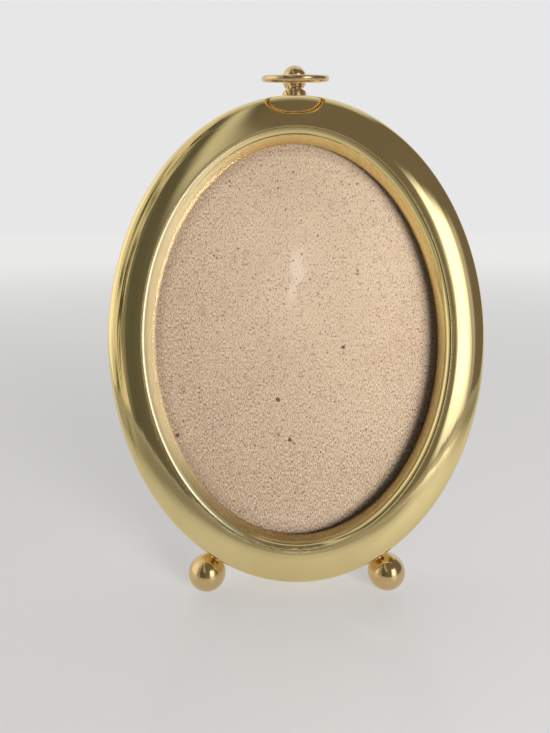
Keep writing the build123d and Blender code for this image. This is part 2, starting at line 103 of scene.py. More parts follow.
# Ball feet
FOOT_SPREAD = 47.6
FOOT_DEPTH = 8.0
BALL_RADIUS = 5.55
COLLAR_RADIUS = 2.0
COLLAR_HEIGHT = 1.25
SADDLE = 0.3

# Turn buttons and their rivets
BUTTON_ANGLE = 42.0
BUTTON_THICKNESS = 0.7
BUTTON_ROOT = 3.0
BUTTON_TIP = 2.2
BUTTON_REACH = 6.0
BUTTON_HOLE = 1.25
BUTTON_EDGE = 0.2
BUTTON_GAP = 0.1
BUTTON_RIVET = 1.2
BUTTON_RIVET_HEAD = 2.2
BUTTON_RIVET_RISE = 0.6
BUTTON_RIVET_CLINCH = 1.9
BUTTON_RIVET_TAIL = 0.4

# Hinge rivets, and the boards that they hold
HINGE_RIVET = 1.0
HINGE_RIVET_HEAD = 2.0
HINGE_RIVET_RISE = 0.7
HINGE_RIVET_TAIL = 0.4
HINGE_RIVET_DROP = 9.0
HINGE_RIVET_SPACING = 14.0
HINGE_RISE = 26.0
LEAF_THICKNESS = 0.8
BACK_THICKNESS = 2.7
COVER_BACK = 16.9
LEG_FRONT = 0.1
LEG_STACK = 2.9

# Fineness of the surfaces, in steps
OVAL_TURNS = 480
PANE_TURNS = 240
PANE_STEPS = 12
STUD_SIDES = 96
WIRE_SIDES = 40
FOOT_SIDES = 128
BUTTON_SIDES = 120
BUTTON_EDGE_STEPS = 6
RIVET_SIDES = 48
RIVET_HEAD_STEPS = 14
RIVET_TAIL_STEPS = 10

# Meshes: least angle of a sharp edge in degrees, reach of a weld in metres, cosine of nearly one direction
SHARP_ANGLE = 38.0
WELD = 1e-7
NEARLY_ALONG = 0.9

# Marks on the brass, real and painted, in metres from the origin along a direction: none at the first
# place and most at the second.
# The residue's direction is down and in this share to the left.
RESIDUE_LEFTWARD = 0.6
RESIDUE_BELOW = (-0.030, -0.008)
# Painted sheen on the left of the liner
PAINTED_SHEEN_LEFT = (0.004, 0.036)
# Painted shade on the liner's wall, to the right and below
PAINTED_SHADE_RIGHT = (-0.062, -0.010)
PAINTED_SHADE_BELOW = (-0.044, -0.022)

# Chipboard, in metres along right and up: half the visible oval, the middle of a painted pool of light
# and a pale streak
SIGHT_SIDE = 0.0418
SIGHT_RISE = 0.0581
RIM_SHADE_SHARE = (0.925, 0.99)
PAINTED_LIGHT_SIDE = 0.008
PAINTED_LIGHT_RISE = 0.095
PAINTED_LIGHT_SQUASH = 0.7
PAINTED_LIGHT_REACH = (0.012, 0.064)
GRAIN_REACH = (0.010, 0.050)
GRAIN_SQUASH = 0.36
STREAK_RISE = 0.0885
STREAK_SLANT = 0.14
STREAK_WANDER = 0.006
STREAK_WIDTH = (0.0026, 0.0006)
STREAK_LENGTH = (0.0115, 0.0040)

# Flecks of the chipboard: cells in a metre, radius in cells, share of cells without one, depth of tone
FLECKS = ((1300.0, 0.34, 0.89, 0.65), (420.0, 0.15, 0.945, 0.85), (62.0, 0.050, 0.66, 0.92))
FLECK_RAGGED = 0.0009

# Random numbers of the cells: two of their colour channels, and the step from cells without a spot to with
RED = (1.0, 0.0, 0.0)
GREEN = (0.0, 1.0, 0.0)
SPOT_STEP = 0.02

# Colours, linear, with full cover
YELLOW_BRASS = (0.80, 0.655, 0.315, 1.0)
PALE_BRASS = (0.87, 0.71, 0.35, 1.0)
TURNED_BRASS = (0.68, 0.47, 0.245, 1.0)
BRASS_SPECK = (0.88, 0.80, 0.55, 1.0)
BRASS_PIT = (0.07, 0.05, 0.025, 1.0)
BRASS_PAINTED_SHEEN = (0.93, 0.86, 0.68, 1.0)
BRASS_PAINTED_SHADE = (0.345, 0.265, 0.125, 1.0)
POLISH_RESIDUE = (0.31, 0.325, 0.25, 1.0)
SEAM_SHADE_AND_DIRT = (0.030, 0.022, 0.012, 1.0)
SATIN_YELLOW = (0.72, 0.55, 0.27, 1.0)
SATIN_BROWN = (0.46, 0.31, 0.14, 1.0)
STEEL_BRIGHT = (0.56, 0.56, 0.57, 1.0)
STEEL_FILM = (0.38, 0.38, 0.37, 1.0)
GLASS_TINT = (0.985, 0.995, 0.99, 1.0)
BOARD_DEEP = (0.62, 0.45, 0.322, 1.0)
BOARD_LIGHT = (0.72, 0.535, 0.392, 1.0)
BOARD_PAINTED_DIM = (0.40, 0.275, 0.19, 1.0)
BOARD_RIM_SHADE = (0.27, 0.17, 0.105, 1.0)
BOARD_MOTTLE = (0.34, 0.22, 0.14, 1.0)
BOARD_STREAK = (0.86, 0.75, 0.64, 1.0)
BOARD_FLECK = (0.085, 0.045, 0.024, 1.0)
GRAIN_DARK = (0.21, 0.125, 0.072, 1.0)
GRAIN_PALE = (0.92, 0.78, 0.64, 1.0)
CARD_DEEP = (0.36, 0.25, 0.15, 1.0)
CARD_LIGHT = (0.50, 0.37, 0.24, 1.0)
HARDBOARD_DEEP = (0.26, 0.155, 0.085, 1.0)
HARDBOARD_LIGHT = (0.34, 0.215, 0.125, 1.0)
HARDBOARD_FIBRE = (0.15, 0.085, 0.045, 1.0)
PAPER_HOLLOW = (0.014, 0.011, 0.009, 1.0)
PAPER_CREST = (0.055, 0.040, 0.031, 1.0)
PAPER_WORN = (0.105, 0.080, 0.062, 1.0)
TABLE_DEEP = (0.86, 0.855, 0.845, 1.0)
TABLE_LIGHT = (0.90, 0.895, 0.885, 1.0)
TABLE_SHADE_TONE = (0.17, 0.155, 0.135, 1.0)

# Table, in metres: its half width, where its painted shade before the frame lies in bounced and in
# mirrored light, and where it fades into the surroundings
TABLE_REACH = 3.0
TABLE_DIMS = (0.05, 0.15)
TABLE_MIRRORS_DIM = (0.06, 0.20)
TABLE_FADES = (0.2, 1.4)

# Room that the brass mirrors, in degrees from the face's normal, right and up; a third number is softness
ROOM_BROWNER = (-28.0, 2.0)
THINGS_START = (-36.0, -48.0)
THINGS_ACROSS = 0.24
THINGS_UP = 0.045
WALL_MIDDLE = 30.0
WALL_SLANT = 0.5
WALL_ACROSS = (-20.0, -8.0, 5.0)
WALL_UP = (17.0, 68.0, 8.0)
WINDOW_NEAR = (20.0, 29.0)
WINDOW_FAR = (64.0, 40.0)
WINDOW_FOOT = (-24.0, 0.0)
WINDOW_TOP = (29.0, 21.0)
GLOW_ACROSS = (-112.0, -64.0, 3.0)
GLOW_UP = (-40.0, 45.0, 12.0)

# Pale surroundings, by the cosine to the front, right and up: where they begin, and what shifts that
PALE_BEGINS = (0.55, 0.12)
PALE_BESIDE = (0.35, 0.70)
PALE_BESIDE_SHIFT = 0.75
PALE_ABOVE = (0.60, 0.95)
PALE_ABOVE_FRONT = (0.27, 0.42)
PALE_ABOVE_SHIFT = 0.42

# Diffuse light from the front, by its cosine: where it is cut, and by how much
FILL_FRONT = (-0.1, 0.2)
FILL_CUT = 0.80

# Colours of the light
ROOM_DIM = (0.115, 0.110, 0.092, 1.0)
ROOM_BROWN = (0.185, 0.160, 0.135, 1.0)
THINGS_DARK = (0.055, 0.045, 0.025, 1.0)
THINGS_LIT = (0.78, 0.73, 0.60, 1.0)
WALL_LIGHT = (0.62, 0.61, 0.58, 1.0)
PALE_LIGHT = (0.80, 0.80, 0.81, 1.0)
WINDOW_LIGHT = (2.1, 2.12, 2.25, 1.0)
GLOW_LIGHT = (1.15, 1.12, 1.05, 1.0)

# Lamp in the window: degrees to the right and up, millimetres away, metres wide and tall, watts and colour
LAMP_ACROSS = 36.0
LAMP_UP = -11.0
LAMP_DISTANCE = 450.0
LAMP_WIDTH = 0.18
LAMP_HEIGHT = 0.20
LAMP_POWER = 2.95
LAMP_COLOUR = (1.0, 0.985, 0.96)

# Camera from the middle of the seam's plane: right, down and out of the face, turns in degrees, and lens
IMAGE_HEIGHT = 733
FOCAL_PIXELS = 551
SENSOR = 36.0
CAMERA_RIGHT = -6.89
CAMERA_DOWN = 6.42
CAMERA_OUT = 158.74
CAMERA_YAW = -0.20
CAMERA_PITCH = 0.52
CAMERA_ROLL = -0.30
CAMERA_NEAREST = 0.005

# Directions of the leaning face and its middle, and of the leg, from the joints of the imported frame
joints = {joint["name"]: joint for joint in frame["joints"]}
RIGHT = np.array((1.0, 0.0, 0.0))
OUT = -np.array(joints["button_upper_left_turn"]["axis"])
UP = np.cross(OUT, RIGHT)
RING_PIVOT = np.array(joints["ring_swing"]["pos_m"]) / MM
HINGE = np.array(joints["strut_fold"]["pos_m"]) / MM
FACE_MIDDLE = RING_PIVOT - UP * (HALF_HEIGHT + STUD_BALL_HEIGHT) + OUT * STUD_DEPTH
LEG_LEAN = -np.radians(joints["strut_fold"]["range_deg"][0]) - np.arcsin(UP[1])
LEG_UP = np.array((0.0, -np.sin(LEG_LEAN), np.cos(LEG_LEAN)))
LEG_OUT = np.array((0.0, -np.cos(LEG_LEAN), -np.sin(LEG_LEAN)))


class Nodes:
    """Short calls for the nodes of a tree: an input that is a socket is linked, any other value is set."""

    def __init__(self, tree):
        self.tree = tree

    def node(self, kind, inputs, output=0, **settings):
        made = self.tree.nodes.new("ShaderNode" + kind)
        for key, value in settings.items():
            setattr(made, key, value)
        for key, value in inputs.items():
            self.feed(made.inputs[key], value)
        return made.outputs[output]

    def feed(self, socket, value):
        if isinstance(value, bpy.types.NodeSocket):
            self.tree.links.new(value, socket)
        else:
            socket.default_value = value

    def math(self, operation, *values):
        return self.node("Math", dict(enumerate(values)), operation=operation)

    def chain(self, operation, first, *others):
        for other in others:
            first = self.math(operation, first, other)
        return first

    def plus(self, *values):
        return self.chain("ADD", *values)

    def minus(self, *values):
        return self.chain("SUBTRACT", *values)

    def times(self, *values):
        return self.chain("MULTIPLY", *values)

    def larger(self, *values):
        return self.chain("MAXIMUM", *values)

    def point(self, x, y, z=0.0):
        return self.node("CombineXYZ", {0: x, 1: y, 2: z})

    def dot(self, vector, direction):
        return self.node("VectorMath", {0: vector, 1: tuple(direction)}, "Value", operation="DOT_PRODUCT")

    def length(self, vector):
        return self.node("VectorMath", {0: vector}, "Value", operation="LENGTH")

    def span(self, value, low, high, start=0.0, end=1.0):
        """Smooth step from start, where the value is at low or before it, to end, at high or past it."""
        inputs = {"Value": value, "From Min": low, "From Max": high, "To Min": start, "To Max": end}
        return self.node("MapRange", inputs, interpolation_type="SMOOTHSTEP")

    def blend(self, amount, first, second):
        return self.node("Mix", {0: amount, 6: first, 7: second}, 2, data_type="RGBA")

    def rays(self, *kinds):
        """1 for light paths of these kinds and 0 for others."""
        path = self.tree.nodes.new("ShaderNodeLightPath").outputs
        return self.larger(*(path[f"Is {kind} Ray"] for kind in kinds))


class Finish(Nodes):
    """A material whose patterns go by place: a scale counts the waves or cells in a metre."""

    def __init__(self, name):
        self.material = bpy.data.materials.new(name)
        self.material.use_nodes = True
        super().__init__(self.material.node_tree)
        self.shader = self.tree.nodes["Principled BSDF"]
        self.place = self.node("TexCoord", {}, "Object")

    def along(self, direction):
        return self.dot(self.place, direction)

    def attribute(self, name):
        return self.node("Attribute", {}, "Fac", attribute_name=name)

    def stretch(self, *scales):
        """Places with a scale of their own along each axis, for a grain that runs one way."""
        return self.node("Mapping", {"Vector": self.place, "Scale": scales})

    def swept(self, slow, fast):
        """Places for marks that run round the oval: slow across and up the face, fast over the section."""
        over = self.node("SeparateXYZ", {0: self.node("TexCoord", {}, "UV")}, "Y")
        across, upright = (self.times(self.along(way), slow) for way in (RIGHT, UP))
        return self.point(across, upright, self.times(over, fast))

    def noise(self, scale, detail=3.0, vector=None, warp=0.0, output="Fac"):
        inputs = {"Vector": vector or self.place, "Scale": scale, "Detail": detail, "Distortion": warp}
        return self.node("TexNoise", inputs, output)

    def cells(self, scale, output="Distance", vector=None, **settings):
        return self.node("TexVoronoi", {"Vector": vector or self.place, "Scale": scale}, output, **settings)

    def spots(self, scale, radius, core, share, depth=1.0, channel=RED, **settings):
        """Spots at the middles of cells, full in the core, where a cell's random number is past share."""
        near = self.span(self.cells(scale, **settings), radius, core)
        random = self.dot(self.cells(scale, "Color", **settings), channel)
        return self.times(near, self.span(random, share, share + SPOT_STEP, 0.0, depth))

    def bump(self, height, distance, strength=1.0, normal=None):
        """Normal of a relief whose height of 1 is this distance in metres, over another normal if given."""
        inputs = {"Height": height, "Distance": distance, "Strength": strength}
        if normal is not None:
            inputs["Normal"] = normal
        return self.node("Bump", inputs, "Normal")

    def set(self, **values):
        for key, value in values.items():
            self.feed(self.shader.inputs[key.replace("_", " ")], value)
        return self.material

    def show(self, amount, other):
        """Show another shader in this amount over the material's own."""
        mixed = self.node("MixShader", {0: amount, 1: self.shader.outputs[0], 2: other})
        self.feed(self.tree.nodes["Material Output"].inputs["Surface"], mixed)


def polished_brass():
    """Buffed yellow brass with a slow drift of colour, pale specks, dark pits and fine buffing lines.

    The moulding is drawn, with bands along it, and the turned fittings are browner and less bright. The
    seam is painted dark, as shade in its gap with patchy dirt, and has powdery residue below. The liner has
    a pale dull film on the left that is a painted sheen, and a darker tone on its recessed wall below and on
    the right that is painted shade, where the wall mirrors the shadowed board.
    """
    brass = Finish("polished_brass")
    seam, drawn, liner = (brass.attribute(name) for name in ("seam", "drawn", "liner"))
    turned = brass.minus(1.0, brass.plus(drawn, liner))
    metal = brass.blend(brass.span(brass.noise(38.0, 2.0), 0.35, 0.68), YELLOW_BRASS, PALE_BRASS)
    metal = brass.blend(brass.times(turned, 0.7), metal, TURNED_BRASS)
    metal = brass.blend(brass.spots(170.0, 0.055, 0.030, 0.80), metal, BRASS_SPECK)
    metal = brass.blend(brass.spots(96.0, 0.030, 0.018, 0.70, channel=GREEN), metal, BRASS_PIT)

    # Residue, and painted shade with dirt, along the seam; painted sheen and painted shade on the liner
    low = brass.span(brass.along(-UP - RESIDUE_LEFTWARD * RIGHT), *RESIDUE_BELOW)
    patches = brass.span(brass.plus(brass.noise(70.0, 2.0), brass.noise(900.0)), 0.90, 1.20)
    residue = brass.times(brass.span(seam, 0.30, 0.80, 0.0, 0.45), patches, low)
    # Dark seam line: painted shade in the gap between moulding and liner, patchy with dirt
    shade_and_grime = brass.span(brass.noise(420.0), 0.30, 0.55, 0.55, 1.0)
    seam_shade_and_dirt = brass.times(brass.span(seam, 0.74, 0.90), shade_and_grime, brass.span(low, 0.0, 1.0, 0.5, 0.95))
    # Pale dull film on the left of the liner: a painted sheen
    film = brass.times(liner, brass.span(brass.along(-RIGHT), *PAINTED_SHEEN_LEFT, 0.0, 0.32))
    recess = brass.times(liner, brass.span(seam, 0.30, 0.0))
    # Painted shade: the liner's recessed wall is darker to the right and below, as it mirrors the shadowed board
    liner_shade = brass.larger(
        brass.span(brass.along(RIGHT - UP), *PAINTED_SHADE_RIGHT, 0.0, 0.9),
        brass.span(brass.along(-UP), *PAINTED_SHADE_BELOW, 0.0, 0.75),
    )
    metal = brass.blend(film, metal, BRASS_PAINTED_SHEEN)
    metal = brass.blend(brass.times(recess, liner_shade), metal, BRASS_PAINTED_SHADE)
    metal = brass.blend(residue, metal, POLISH_RESIDUE)
    metal = brass.blend(seam_shade_and_dirt, metal, SEAM_SHADE_AND_DIRT)

    # Dull under the residue, the seam's dirt and the painted sheen; slow waves, drawn bands and buffing lines in
    # the surface
    dull = brass.larger(residue, seam_shade_and_dirt, film)
    roughness = brass.span(brass.noise(140.0, 4.0), 0.3, 0.75, 0.045, 0.10)
    roughness = brass.plus(roughness, brass.times(dull, 0.5), brass.times(turned, 0.09))
    metallic = brass.minus(1.0, brass.times(dull, 0.85))
    waves = brass.bump(brass.noise(34.0, 1.0), 0.000012)
    bands = brass.bump(brass.noise(1.0, 2.0, brass.swept(16.0, 420.0)), 0.000034, drawn, waves)
    lines = brass.bump(brass.noise(1.0, 3.0, brass.swept(60.0, 5200.0)), 0.0000006, 1.0, bands)
    return brass.set(Base_Color=metal, Metallic=metallic, Roughness=roughness, Normal=lines)


def satin_brass():
    """Plain brass of the back's fittings: brushed one way, dulled and browner in patches."""
    brass = Finish("satin_brass")
    tarnish = brass.span(brass.noise(260.0, 4.0), 0.40, 0.72)
    metal = brass.blend(tarnish, SATIN_YELLOW, SATIN_BROWN)
    lines = brass.noise(1.0, 3.0, brass.stretch(160.0, 3000.0, 3000.0))
    roughness = brass.span(brass.plus(lines, tarnish), 0.4, 1.5, 0.24, 0.48)
    return brass.set(Base_Color=metal, Metallic=1.0, Roughness=roughness, Normal=brass.bump(lines, 0.00003))


def plain_steel():
    """Bright steel of the screws and washers inside, with a fine grain and a trace of grey film."""
    steel = Finish("plain_steel")
    film = steel.noise(420.0, 4.0)
    metal = steel.blend(steel.span(film, 0.35, 0.7), STEEL_BRIGHT, STEEL_FILM)
    roughness = steel.span(film, 0.3, 0.7, 0.28, 0.5)
    grain = steel.bump(steel.noise(2600.0, 2.0), 0.00002)
    return steel.set(Base_Color=metal, Metallic=1.0, Roughness=roughness, Normal=grain)


def clear_glass():
    """Thin picture glass: clear and smooth with a faint film of dust. Light for the board goes through."""
    glass = Finish("clear_glass")
    film = glass.span(glass.noise(60.0, 5.0), 0.35, 0.8, 0.0, 0.03)
    glass.show(glass.rays("Shadow", "Diffuse"), glass.node("BsdfTransparent", {"Color": GLASS_TINT}))
    return glass.set(Base_Color=GLASS_TINT, Roughness=film, IOR=1.46, Transmission_Weight=1.0)


def chipboard():
    """Pinkish pulp board: fine upright grain, coarser mottle, ragged dark flecks and a pale streak.

    A painted pool of light makes it paler near a point above its middle and darker with the distance from
    there, which counts for less up and down. Close to the edge of the visible oval a painted shade makes it
    darker still. The streak is a slanted line that wanders, and fades with the distance from it and from its
    middle.
    """
    board = Finish("chipboard")
    across, upright = board.along(RIGHT), board.along(UP)
    above_painted_light = board.times(board.minus(upright, PAINTED_LIGHT_RISE), PAINTED_LIGHT_SQUASH)
    reach = board.length(board.point(board.minus(across, PAINTED_LIGHT_SIDE), above_painted_light))
    above_middle = board.minus(upright, float(FACE_MIDDLE @ UP) * MM)
    oval = board.point(board.times(across, 1 / SIGHT_SIDE), board.times(above_middle, 1 / SIGHT_RISE))
    share_of_oval = board.length(oval)
    tone = board.blend(board.span(board.noise(22.0), 0.3, 0.7), BOARD_DEEP, BOARD_LIGHT)
    # Painted light: paler near a point above the middle, darker with the distance from it
    tone = board.blend(board.span(reach, *PAINTED_LIGHT_REACH, 0.0, 0.62), tone, BOARD_PAINTED_DIM)
    # Painted shade close to the edge of the visible oval
    tone = board.blend(board.span(share_of_oval, *RIM_SHADE_SHARE, 0.0, 0.45), tone, BOARD_RIM_SHADE)

    # Grain and mottle, drawn out upright; the grain is painted fainter near the pool of painted light and
    # stronger away from it, as painted shading of its relief
    sheet = board.point(across, board.times(upright, GRAIN_SQUASH))
    strength = board.span(reach, *GRAIN_REACH, 0.60, 1.0)
    grain = board.noise(4000.0, 2.0, sheet, warp=0.3)
    mottle = board.noise(620.0, 2.0, sheet, warp=0.8)
    tone = board.blend(board.times(board.span(grain, 0.49, 0.33), strength), tone, GRAIN_DARK)
    tone = board.blend(board.times(board.span(grain, 0.51, 0.68, 0.0, 0.55), strength), tone, GRAIN_PALE)
    tone = board.blend(board.span(mottle, 0.45, 0.30, 0.0, 0.25), tone, BOARD_MOTTLE)

    # Pale streak
    above = board.minus(upright, STREAK_RISE)
    wander = board.times(board.minus(board.noise(140.0, 2.0), 0.5), STREAK_WANDER)
    beside = board.plus(board.minus(across, board.times(above, STREAK_SLANT)), wander)
    pale_streak = board.times(
        board.span(board.math("ABSOLUTE", beside), *STREAK_WIDTH),
        board.span(board.math("ABSOLUTE", above), *STREAK_LENGTH, 0.0, 0.38),
    )
    tone = board.blend(pale_streak, tone, BOARD_STREAK)

    # Flecks in three sizes, with ragged edges
    ragged = board.noise(1100.0, 2.0, output="Color")
    ragged = board.node("VectorMath", {0: ragged, "Scale": FLECK_RAGGED}, operation="SCALE")
    ragged = board.node("VectorMath", {0: board.point(across, upright), 1: ragged}, operation="ADD")
    flecks = board.larger(*(
        board.spots(scale, radius, radius / 2, share, depth, vector=ragged, voronoi_dimensions="2D")
        for scale, radius, share, depth in FLECKS
    ))
    tone = board.blend(flecks, tone, BOARD_FLECK)
    relief = board.bump(board.minus(grain, board.times(flecks, 0.6)), 0.00006)
    return board.set(Base_Color=tone, Roughness=0.92, Specular_IOR_Level=0.2, Normal=relief)


def packing_card():
    """Brown packing card with fibres that are longest upright."""
    card = Finish("packing_card")
    fibres = card.noise(1.0, 4.0, card.stretch(300.0, 900.0, 120.0))
    tone = card.blend(card.span(fibres, 0.35, 0.65), CARD_DEEP, CARD_LIGHT)
    return card.set(Base_Color=tone, Roughness=0.9, Normal=card.bump(fibres, 0.0001))


def hardboard():
    """Pressed brown board: darker matted fibres on a ground that drifts in tone."""
    board = Finish("hardboard")
    fibres = board.noise(900.0, 4.0, warp=0.8)
    tone = board.blend(board.span(board.noise(70.0), 0.35, 0.7), HARDBOARD_DEEP, HARDBOARD_LIGHT)
    tone = board.blend(board.span(fibres, 0.42, 0.62, 0.0, 0.55), tone, HARDBOARD_FIBRE)
    roughness = board.span(fibres, 0.3, 0.7, 0.62, 0.85)
    return board.set(Base_Color=tone, Roughness=roughness, Normal=board.bump(fibres, 0.00012))


def covering_paper():
    """Dark embossed covering paper: pebbled grain with paler crests, worn paler and duller in patches."""
    paper = Finish("covering_paper")
    crest = paper.span(paper.cells(760.0, feature="DISTANCE_TO_EDGE"), 0.02, 0.30)
    fine = paper.noise(2600.0, 2.0)
    worn = paper.span(paper.noise(48.0, 4.0), 0.42, 0.75)
    tone = paper.blend(crest, PAPER_HOLLOW, PAPER_CREST)
    tone = paper.blend(paper.times(worn, 0.35), tone, PAPER_WORN)
    roughness = paper.span(paper.plus(fine, worn), 0.5, 1.4, 0.42, 0.66)
    relief = paper.bump(paper.plus(crest, paper.times(fine, 0.25)), 0.00022)
    return paper.set(Base_Color=tone, Roughness=roughness, Normal=relief)


def pale_table():
    """White lacquered table with a slow drift of tone and a soft gloss. It fades into pale surroundings.

    In bounced and mirrored light it carries a painted shade before the frame, dim like the room there.
    """
    table = Finish("pale_table")
    drift = table.noise(3.0)
    forward = table.along((0.0, -1.0, 0.0))
    # Painted shade before the frame, in bounced and mirrored light only
    table_shade = table.larger(
        table.times(table.span(forward, *TABLE_DIMS), table.rays("Diffuse")),
        table.times(table.span(forward, *TABLE_MIRRORS_DIM, 0.0, 0.65), table.rays("Glossy")),
    )
    tone = table.blend(table_shade, table.blend(drift, TABLE_DEEP, TABLE_LIGHT), TABLE_SHADE_TONE)
    distance = table.length(table.place)
    seen = table.rays("Camera", "Glossy", "Transmission")
    fading = table.times(seen, table.span(distance, *TABLE_FADES, 0.5, 1.0))
    glow = {"Color": tone, "Strength": table.span(distance, *TABLE_FADES, 0.85, 0.93)}
    table.show(fading, table.node("Emission", glow))
    return table.set(Base_Color=tone, Roughness=table.span(drift, 0.3, 0.7, 0.10, 0.16))


FINISHES = {
    "polished_brass": polished_brass(), "plain_brass": satin_brass(), "steel": plain_steel(),
    "clear_glass": clear_glass(), "chipboard": chipboard(), "packing_card": packing_card(),
    "hardboard": hardboard(), "covering_paper": covering_paper(),
}
for row in frame["record"]["subparts"]:
    materials = frame["nodes"][row["node"]].data.materials
    materials.clear()
    materials.append(FINISHES[row["material_slot"]])


def on_face(x, y, depth):
    """Places in the shared frame: from the face's middle x along right, y along up, depth against out."""
    across, upright, back = (np.multiply.outer(*pair) for pair in ((x, RIGHT), (y, UP), (depth, OUT)))
    return FACE_MIDDLE + across + upright - back


def full_turn(steps):
    """Evenly spaced angles once round, in radians, without the last, which is the first again."""
    return np.linspace(0, 2 * np.pi, steps, endpoint=False)


def arc(centre, radius, start, end, steps):
    """Points round a circle between two angles in degrees: centre plus radius times cosine and sine."""
    angle = np.radians(np.linspace(start, end, steps))
    return np.stack([centre[0] + radius * np.cos(angle), centre[1] + radius * np.sin(angle)], axis=1)


def line(start, end, steps=2):
    """Evenly spaced points on the straight line from start to end."""
    return np.linspace(start, end, steps)


def join(*stretches, closed=False):
    """Stretches end to end as one outline, where a point that two of them share is kept once."""
    points = np.concatenate([stretch[:-1] for stretch in stretches])
    return points if closed else np.concatenate([points, stretches[-1][-1:]])


def oval_rim(turn):
    """Points of the outer oval, half sizes times cosine and sine, and the directions square to it there.

    A direction square to the oval has each coordinate over the square of its half size, made length 1.
    """
    x, y = HALF_WIDTH * np.cos(turn), HALF_HEIGHT * np.sin(turn)
    slope = np.stack([x / HALF_WIDTH**2, y / HALF_HEIGHT**2])
    return np.stack([x, y]), slope / np.hypot(*slope)


def carry_round(section):
    """Section carried round the oval: each of its points keeps its distance from the oval, square to it."""
    rim, normal = oval_rim(full_turn(OVAL_TURNS))
    outward, forward = section.T
    x, y = rim[..., None] + normal[..., None] * outward
    return on_face(x, y, np.broadcast_to(-forward, x.shape))


def turn_about(profile, origin, axis, sides):
    """Profile turned about an axis: the origin, plus radius along a spoke, plus height along the axis."""
    first = np.cross(axis, OUT if abs(axis @ OUT) < NEARLY_ALONG else RIGHT)
    first = first / np.linalg.norm(first)
    second = np.cross(axis, first)
    turn = full_turn(sides)
    spoke = np.outer(np.cos(turn), first) + np.outer(np.sin(turn), second)
    radius, height = profile.T
    return origin + spoke[:, None] * radius[None, :, None] + height[None, :, None] * axis


def make_piece(name, replaced, body, slot, grids, wraps=(True, False), fields=()):
    """One piece from grids of points: a quad between each four neighbours, closed where a grid wraps round.

    Grids are arrays of rows by columns by 3. The map runs along the rows and columns in metres. A field is
    a name and one array for each grid, kept as a point attribute. Poles are welded, and faces turned out.
    """
    corners, faces, maps, start = [], [], [], 0
    for grid in grids:
        rows, columns = grid.shape[:2]
        index = start + np.arange(rows * columns).reshape(rows, columns)
        index = np.pad(index, ((0, wraps[0]), (0, wraps[1])), mode="wrap")
        quads = np.stack([index[:-1, :-1], index[1:, :-1], index[1:, 1:], index[:-1, 1:]], axis=-1)
        row_step = np.linalg.norm(np.diff(grid, axis=0), axis=2).max() * MM
        column_step = np.linalg.norm(np.diff(grid, axis=1), axis=2).mean() * MM
        row, column = np.indices(quads.shape[:2])
        across = np.stack([row, row + 1, row + 1, row], axis=-1) * row_step
        along = np.stack([column, column, column + 1, column + 1], axis=-1) * column_step
        corners.append(grid.reshape(-1, 3) * MM)
        faces.append(quads.reshape(-1, 4))
        maps.append(np.stack([across, along], axis=-1).reshape(-1, 2))
        start += rows * columns
    mesh = bpy.data.meshes.new(name)
    mesh.from_pydata(np.concatenate(corners), [], np.concatenate(faces))
    layer = mesh.uv_layers.new(name="surface")
    layer.data.foreach_set("uv", np.concatenate(maps).astype(np.float32).ravel())
    for field, values in fields:
        values = np.concatenate([value.ravel() for value in values]).astype(np.float32)
        mesh.attributes.new(field, "FLOAT", "POINT").data.foreach_set("value", values)
    shape = bmesh.new()
    shape.from_mesh(mesh)
    bmesh.ops.remove_doubles(shape, verts=shape.verts, dist=WELD)
    bmesh.ops.recalc_face_normals(shape, faces=shape.faces)
    shape.to_mesh(mesh)
    shape.free()
    mesh.shade_smooth()
    mesh.set_sharp_from_angle(angle=np.radians(SHARP_ANGLE))
    mesh.materials.append(FINISHES[slot])
    piece = bpy.data.objects.new(name, mesh)
    bpy.context.scene.collection.objects.link(piece)
    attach(piece, body)
    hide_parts(replaced)


